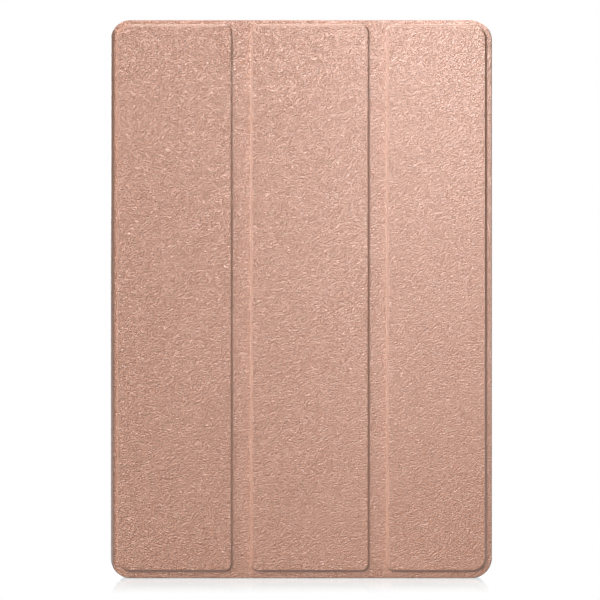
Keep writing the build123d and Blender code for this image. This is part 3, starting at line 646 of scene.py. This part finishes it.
for side, before, strip, after in (
    ("left", "cover_left", "strip_left", "cover_mid"),
    ("right", "cover_mid", "strip_right", "cover_right"),
):
    firstPanel, lastPanel = panelBox[before.split("_")[1]], panelBox[after.split("_")[1]]
    start, end = firstPanel[1].x, lastPanel[0].x
    middle = (start + end) / 2
    layers = (
        ("Skin", marginFace, glueFace, folio["roll"], "leather", f"fold_{side}_skin"),
        ("Lining", glueFace, liningFace, channel["liningRoll"], "lining", f"fold_{side}_lining"),
    )
    for label, front, back, roll, finish, node in layers:
        sheet = (front, back, roll, finish)
        name = f"{side}Channel{label}"
        makeStrip(name + "A", (start, middle), sheet, node)
        makeStrip(name + "B", (middle, end), sheet, node)
print("fold channels made")


# spine: flat strip between two soft folds
spine = {
    "skin": 0.8 * mm,
    "lining": 0.4 * mm,
    "steps": 20,  # round each fold
    "rows": 6,  # across the flat strip
    "skinRoll": 0.3 * mm,
    "liningRoll": 0.04 * mm,
}
frontFoldY = marginFace + folio["foldRadius"]
rearFoldY = backFace - folio["foldRadius"]


def spineSection(outer, inner, roll):
    # section of the spine's sheet between two plan places, up its outside and down its inside
    loop = []
    direction = Vector((inner[0] - outer[0], inner[1] - outer[1]))
    depth = direction.length
    direction.normalize()
    outerTop = topAt(outer[0])
    drops = (1.0, 0.62, 0.3, 0.08, 0.0)  # shares of the roll, closer together towards the end
    risesUp = [-outerTop + roll * (1 - drop) for drop in drops]
    straight = 2 * outerTop - 2 * roll
    risesUp += [(-outerTop + roll) + straight * step / sheetRows for step in range(1, sheetRows)]
    risesUp += [outerTop - roll * (1 - drop) for drop in reversed(drops)]
    for rise in risesUp:
        push = rollDrop(outerTop - abs(rise), roll)
        x, y = outer[0] + direction.x * push, outer[1] + direction.y * push
        loop.append((x, y, midHeight + rise))
    across = [roll + (depth - roll) * step / 3 for step in (1, 2, 3)]
    for push in across:
        x, y = outer[0] + direction.x * push, outer[1] + direction.y * push
        loop.append((x, y, midHeight + topAt(x)))
    innerTop = topAt(inner[0])
    for step in range(1, sheetRows):
        loop.append((inner[0], inner[1], midHeight + innerTop * (1 - 2 * step / sheetRows)))
    for push in reversed(across):
        x, y = outer[0] + direction.x * push, outer[1] + direction.y * push
        loop.append((x, y, midHeight - topAt(x)))
    return loop


def foldPoints(centreY, away, outerRadius, innerRadius):
    # plan places round one fold, from the spine to the panel or the back
    points = []
    for step in range(spine["steps"] + 1):
        angle = math.radians(90 * step / spine["steps"])
        dx, dy = -math.cos(angle), away * math.sin(angle)
        points.append(
            (
                (foldX + outerRadius * dx, centreY + outerRadius * dy),
                (foldX + innerRadius * dx, centreY + innerRadius * dy),
            )
        )
    return points


def makeSpineSheet(name, places, roll, finish, node, body=None):
    bm = bmesh.new()
    growRings(bm, [spineSection(outer, inner, roll) for outer, inner in places], True, True)
    piece = finishPiece(bm, name, materials[finish])
    if body:
        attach(piece, body)
    else:
        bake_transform(piece)
    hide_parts(node)
    return piece


foldPieces = []
radius = folio["foldRadius"]
skinInside = radius - spine["skin"]
for label, centreY, away, pair in (
    ("front", frontFoldY, -1, ("spine", "cover_left")),
    ("rear", rearFoldY, 1, ("spine", "tablet")),
):
    for layer, outerRadius, innerRadius, roll, finish in (
        ("skin", radius, skinInside, spine["skinRoll"], "leather"),
        ("lining", skinInside, skinInside - spine["lining"], spine["liningRoll"], "lining"),
    ):
        foldPieces.append(
            makeSpineSheet(
                f"{label}Fold{layer.capitalize()}",
                foldPoints(centreY, away, outerRadius, innerRadius),
                roll,
                finish,
                f"{label}_fold_{layer}",
            )
        )
flatRun = frontFoldY - rearFoldY
spineRows = [rearFoldY + flatRun * step / spine["rows"] for step in range(spine["rows"] + 1)]
spinePlaces = [((-halfWidth, y), (-halfWidth + spine["skin"], y)) for y in spineRows]
spineSheet = makeSpineSheet("spineSkin", spinePlaces, spine["skinRoll"], "leather", "spine_skin", body="spine")
foldPieces.append(spineSheet)
print("spine made")


# skin on the back, with the camera's window
backSkin = {
    "roll": 0.4 * mm,
    "turns": (0, 30, 60, 90),  # degrees round a rolled edge
    "segments": {"corner": 14, "long": 40, "short": 24},
    "window": 10.5 * mm,  # half the width of the camera's window
    "windowRadius": 5.5 * mm,
    "windowRoll": 0.25 * mm,
    "windowSegments": {"corner": 8, "long": 2, "short": 2},
    "weld": 0.002 * mm,
    "near": 0.05 * mm,  # an edge this close to a face belongs to its rim
}


def makeBackSkin():
    low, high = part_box("back_skin")
    ringLow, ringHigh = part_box("camera_ring")
    cx, cz = (ringLow.x + ringHigh.x) / 2, (ringLow.z + ringHigh.z) / 2
    corner = folio["corner"]
    size = (-halfWidth, halfWidth, cadLow.z, cadHigh.z)
    whole = roundedLoop(*size, corner, corner, backSkin["segments"])
    roll = backSkin["roll"]
    bm = bmesh.new()

    def outlineLoop(inset):
        loop = []
        for x, z, dx, dz in whole:
            px, pz = x - dx * inset, z - dz * inset
            if px < low.x:
                # the part beyond the spine's fold is pulled back on to the seam
                limit = topAt(low.x, inset)
                pz = midHeight + max(-limit, min(limit, (pz - midHeight) * limit / halfHeight))
                px = low.x
            loop.append((px, pz))
        return loop

    rings = []
    for turn in backSkin["turns"]:
        inset = roll * (1 - math.sin(math.radians(turn)))
        rings.append([(x, high.y - rollDrop(outlineDepth(x, z), roll), z) for x, z in outlineLoop(inset)])
    rings.append([(x, low.y, z) for x, z in outlineLoop(0.0)])
    growRings(bm, rings, False, False)
    windowRings = []
    for turn in backSkin["turns"]:
        inset = backSkin["windowRoll"] * (1 - math.sin(math.radians(turn)))
        drop = backSkin["windowRoll"] * (1 - math.cos(math.radians(turn)))
        half = backSkin["window"] + inset
        bend = backSkin["windowRadius"] + inset
        size = (cx - half, cx + half, cz - half, cz + half)
        loop = roundedLoop(*size, bend, bend, backSkin["windowSegments"])
        windowRings.append([(x, high.y - drop, z) for x, z, dx, dz in loop])
    windowRings.append([(x, low.y, z) for x, y, z in windowRings[-1]])
    growRings(bm, windowRings, False, False)
    bmesh.ops.remove_doubles(bm, verts=bm.verts, dist=backSkin["weld"])
    openEdges = [edge for edge in bm.edges if edge.is_boundary]
    for level in (high.y, low.y):
        rim = []
        for edge in openEdges:
            if all(abs(vert.co.y - level) < backSkin["near"] for vert in edge.verts):
                rim.append(edge)
        bmesh.ops.triangle_fill(bm, use_beauty=True, edges=rim)
    piece = finishPiece(bm, "backSkin", materials["leather"])
    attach(piece, "tablet")
    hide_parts("back_skin")


makeBackSkin()
print("back skin made")

# shading of the hard pieces
hardEdge = math.radians(32)
for node in nodes.values():
    node.data.shade_smooth()
    node.data.set_sharp_from_angle(angle=hardEdge)
print("edges set")

# stage: floor, light and camera
stage = {
    "floorSize": 6.0,
    "floorColor": (0.12, 0.12, 0.12),
    # a cool grey glow, dimmer than white, under the floor's real gloss near the object: it paints a soft shade round
    # the object
    "floorGlow": (0.565, 0.615, 0.63),
    "floorRoughness": 0.12,
    "fill": 0.13,
    "overhead": 0.6,  # how much brighter the fill is from straight above
    "behind": 0.85,  # directions further back than this show white in a gloss
    "frontGloss": 0.03,  # what the front of the studio shows in a gloss
    "glossAndShadeNear": 12.0 * mm,  # near the object the floor is a dim glow with its real gloss, a painted soft shade round the object, full up to this distance and turned to plain white glow at the far distance below
    "glossAndShadeFar": 52.0 * mm,
    "lens": 135.0,
    "sensor": 36.0,
    "frameWidth": 270.45 * mm,
    "aim": (-0.50 * mm, 125.615 * mm),
}
floorMesh = bmesh.new()
bmesh.ops.create_grid(floorMesh, x_segments=2, y_segments=2, size=stage["floorSize"])
floorData = bpy.data.meshes.new("floor")
floorMesh.to_mesh(floorData)
floorMesh.free()
floor = bpy.data.objects.new("floor", floorData)
bpy.context.scene.collection.objects.link(floor)
floorPaint, floorShader = startMaterial("paleFloor", stage["floorColor"], stage["floorRoughness"])
floorShader.inputs["Emission Color"].default_value = (*stage["floorGlow"], 1)
floorShader.inputs["Emission Strength"].default_value = 1.0
floorAxes = addNode(floorPaint, "ShaderNodeSeparateXYZ")
wire(floorPaint, objectPlace(floorPaint), floorAxes.inputs[0])


def squareBeyond(axis, reach):
    # square of the distance along one axis from the object's edge to a place on the floor
    across = addMath(floorPaint, "ABSOLUTE", floorAxes.outputs[axis], 0)
    outside = addMath(floorPaint, "MAXIMUM", addMath(floorPaint, "SUBTRACT", across, reach), 0)
    return addMath(floorPaint, "POWER", outside, 2)


# the floor keeps its dim glow and gloss near the object, a painted soft shade round it, and turns to plain white
# glow further out
squares = addMath(floorPaint, "ADD", squareBeyond("X", halfWidth), squareBeyond("Y", backFace))
beyond = addMath(floorPaint, "SQRT", squares, 0)
white = addNode(floorPaint, "ShaderNodeEmission")
shadeFade = addRange(floorPaint, beyond, stage["glossAndShadeNear"], stage["glossAndShadeFar"], 0.0, 1.0, smooth=False)
blended = addNode(floorPaint, "ShaderNodeMixShader")
wire(floorPaint, shadeFade, blended.inputs[0])
wire(floorPaint, floorShader.outputs[0], blended.inputs[1])
wire(floorPaint, white.outputs[0], blended.inputs[2])
wire(floorPaint, blended.outputs[0], floorPaint.node_tree.nodes["Material Output"].inputs["Surface"])
floorData.materials.append(floorPaint)
floor.visible_diffuse = False

world = bpy.data.worlds.new("studio")
bpy.context.scene.world = world
world.use_nodes = True
tree = world.node_tree
paths = tree.nodes.new("ShaderNodeLightPath")
background = tree.nodes["Background"]
background.inputs["Color"].default_value = (1, 1, 1, 1)


def worldMath(operation, *items):
    node = tree.nodes.new("ShaderNodeMath")
    node.operation = operation
    for index, item in enumerate(items):
        if isinstance(item, (int, float)):
            node.inputs[index].default_value = item
        else:
            tree.links.new(item, node.inputs[index])
    return node.outputs[0]


# the camera sees white, a gloss sees white behind the object and less in front of it,
# and the rest is a dim fill
looking = tree.nodes.new("ShaderNodeTexCoord")
toward = tree.nodes.new("ShaderNodeSeparateXYZ")
tree.links.new(looking.outputs["Generated"], toward.inputs[0])
behind = worldMath("GREATER_THAN", toward.outputs["Y"], stage["behind"])
glossLevel = worldMath("MAXIMUM", behind, stage["frontGloss"])
glossSeen = worldMath("MULTIPLY", glossLevel, paths.outputs["Is Glossy Ray"])
overhead = worldMath("MULTIPLY_ADD", toward.outputs["Z"], stage["overhead"], 1.0)
fill = worldMath("MULTIPLY", overhead, stage["fill"])
seen = worldMath("MAXIMUM", glossSeen, paths.outputs["Is Camera Ray"])
strength = worldMath("MAXIMUM", seen, fill)
tree.links.new(strength, background.inputs["Strength"])


lights = {
    "keyLight": {"direction": (-0.56, -0.45, 0.70), "distance": 4.0, "size": 2.4, "power": 134.0},
    "foldLight": {"direction": (0.40, -0.45, 0.80), "distance": 4.0, "size": 2.4, "power": 150.0},
    "frontLight": {"direction": (-0.22, -1.0, 0.37), "distance": 1.3, "size": 0.8, "power": 4.9, "gloss": False},
    "glossLight": {"direction": (0.03, -0.87, 0.53), "distance": 0.49, "size": 0.32, "power": 9.7, "diffuse": False},
    "topLight": {"direction": (0.0, -0.17, 0.98), "distance": 1.3, "size": 0.8, "power": 7.0, "diffuse": False},
    "leftLight": {"direction": (-0.98, -0.17, 0.1), "distance": 1.3, "size": 0.8, "power": 6.0},
    "backLight": {"direction": (0.45, 0.42, 0.78), "distance": 1.3, "size": 0.6, "power": 22.0},
    "rimLight": {"direction": (-0.55, 0.85, 0.3), "distance": 1.3, "size": 0.6, "power": 5.0},
}
lightAim = Vector((0.0, 0.0, 126.0 * mm))


def addLight(name, direction, distance, size, power, diffuse=True, gloss=True):
    data = bpy.data.lights.new(name, "AREA")
    data.shape = "SQUARE"
    data.size = size
    data.energy = power
    light = bpy.data.objects.new(name, data)
    light.location = lightAim + Vector(direction).normalized() * distance
    light.rotation_mode = "QUATERNION"
    light.rotation_quaternion = (-Vector(direction)).to_track_quat("-Z", "Y")
    light.visible_camera = False
    light.visible_diffuse = diffuse
    light.visible_glossy = gloss
    bpy.context.scene.collection.objects.link(light)
    return light


madeLights = {name: addLight(name, **values) for name, values in lights.items()}

# light from the left would flatten the spine's folds, so they have a light of their own
coverSkins = [bpy.data.objects[side + "PanelSkin"] for side in ("left", "mid", "right")]
coverSkins += [bpy.data.objects[side + "ChannelSkin" + half] for side in ("left", "right") for half in "AB"]
for name, pieces, state in (
    ("keyLight", foldPieces, "EXCLUDE"),
    ("foldLight", foldPieces, "INCLUDE"),
    ("leftLight", coverSkins, "INCLUDE"),
    ("topLight", coverSkins + foldPieces, "INCLUDE"),
):
    group = bpy.data.collections.new(name + "Pieces")
    madeLights[name].light_linking.receiver_collection = group
    for piece in pieces:
        group.objects.link(piece)
    for member in group.collection_objects:
        member.light_linking.link_state = state
unshaded = bpy.data.collections.new("foldLightBlockers")
madeLights["foldLight"].light_linking.blocker_collection = unshaded
unshaded.objects.link(bpy.data.objects["leftPanelSkin"])
unshaded.collection_objects[0].light_linking.link_state = "EXCLUDE"

cameraData = bpy.data.cameras.new("camera")
cameraData.lens = stage["lens"]
cameraData.sensor_width = stage["sensor"]
camera = bpy.data.objects.new("camera", cameraData)
away = stage["frameWidth"] * stage["lens"] / stage["sensor"]
camera.location = (stage["aim"][0], cadLow.y - away, stage["aim"][1])
camera.rotation_euler = (math.radians(90), 0, 0)
bpy.context.scene.collection.objects.link(camera)
bpy.context.scene.camera = camera
bpy.context.scene.view_settings.view_transform = "Standard"
print("stage set")
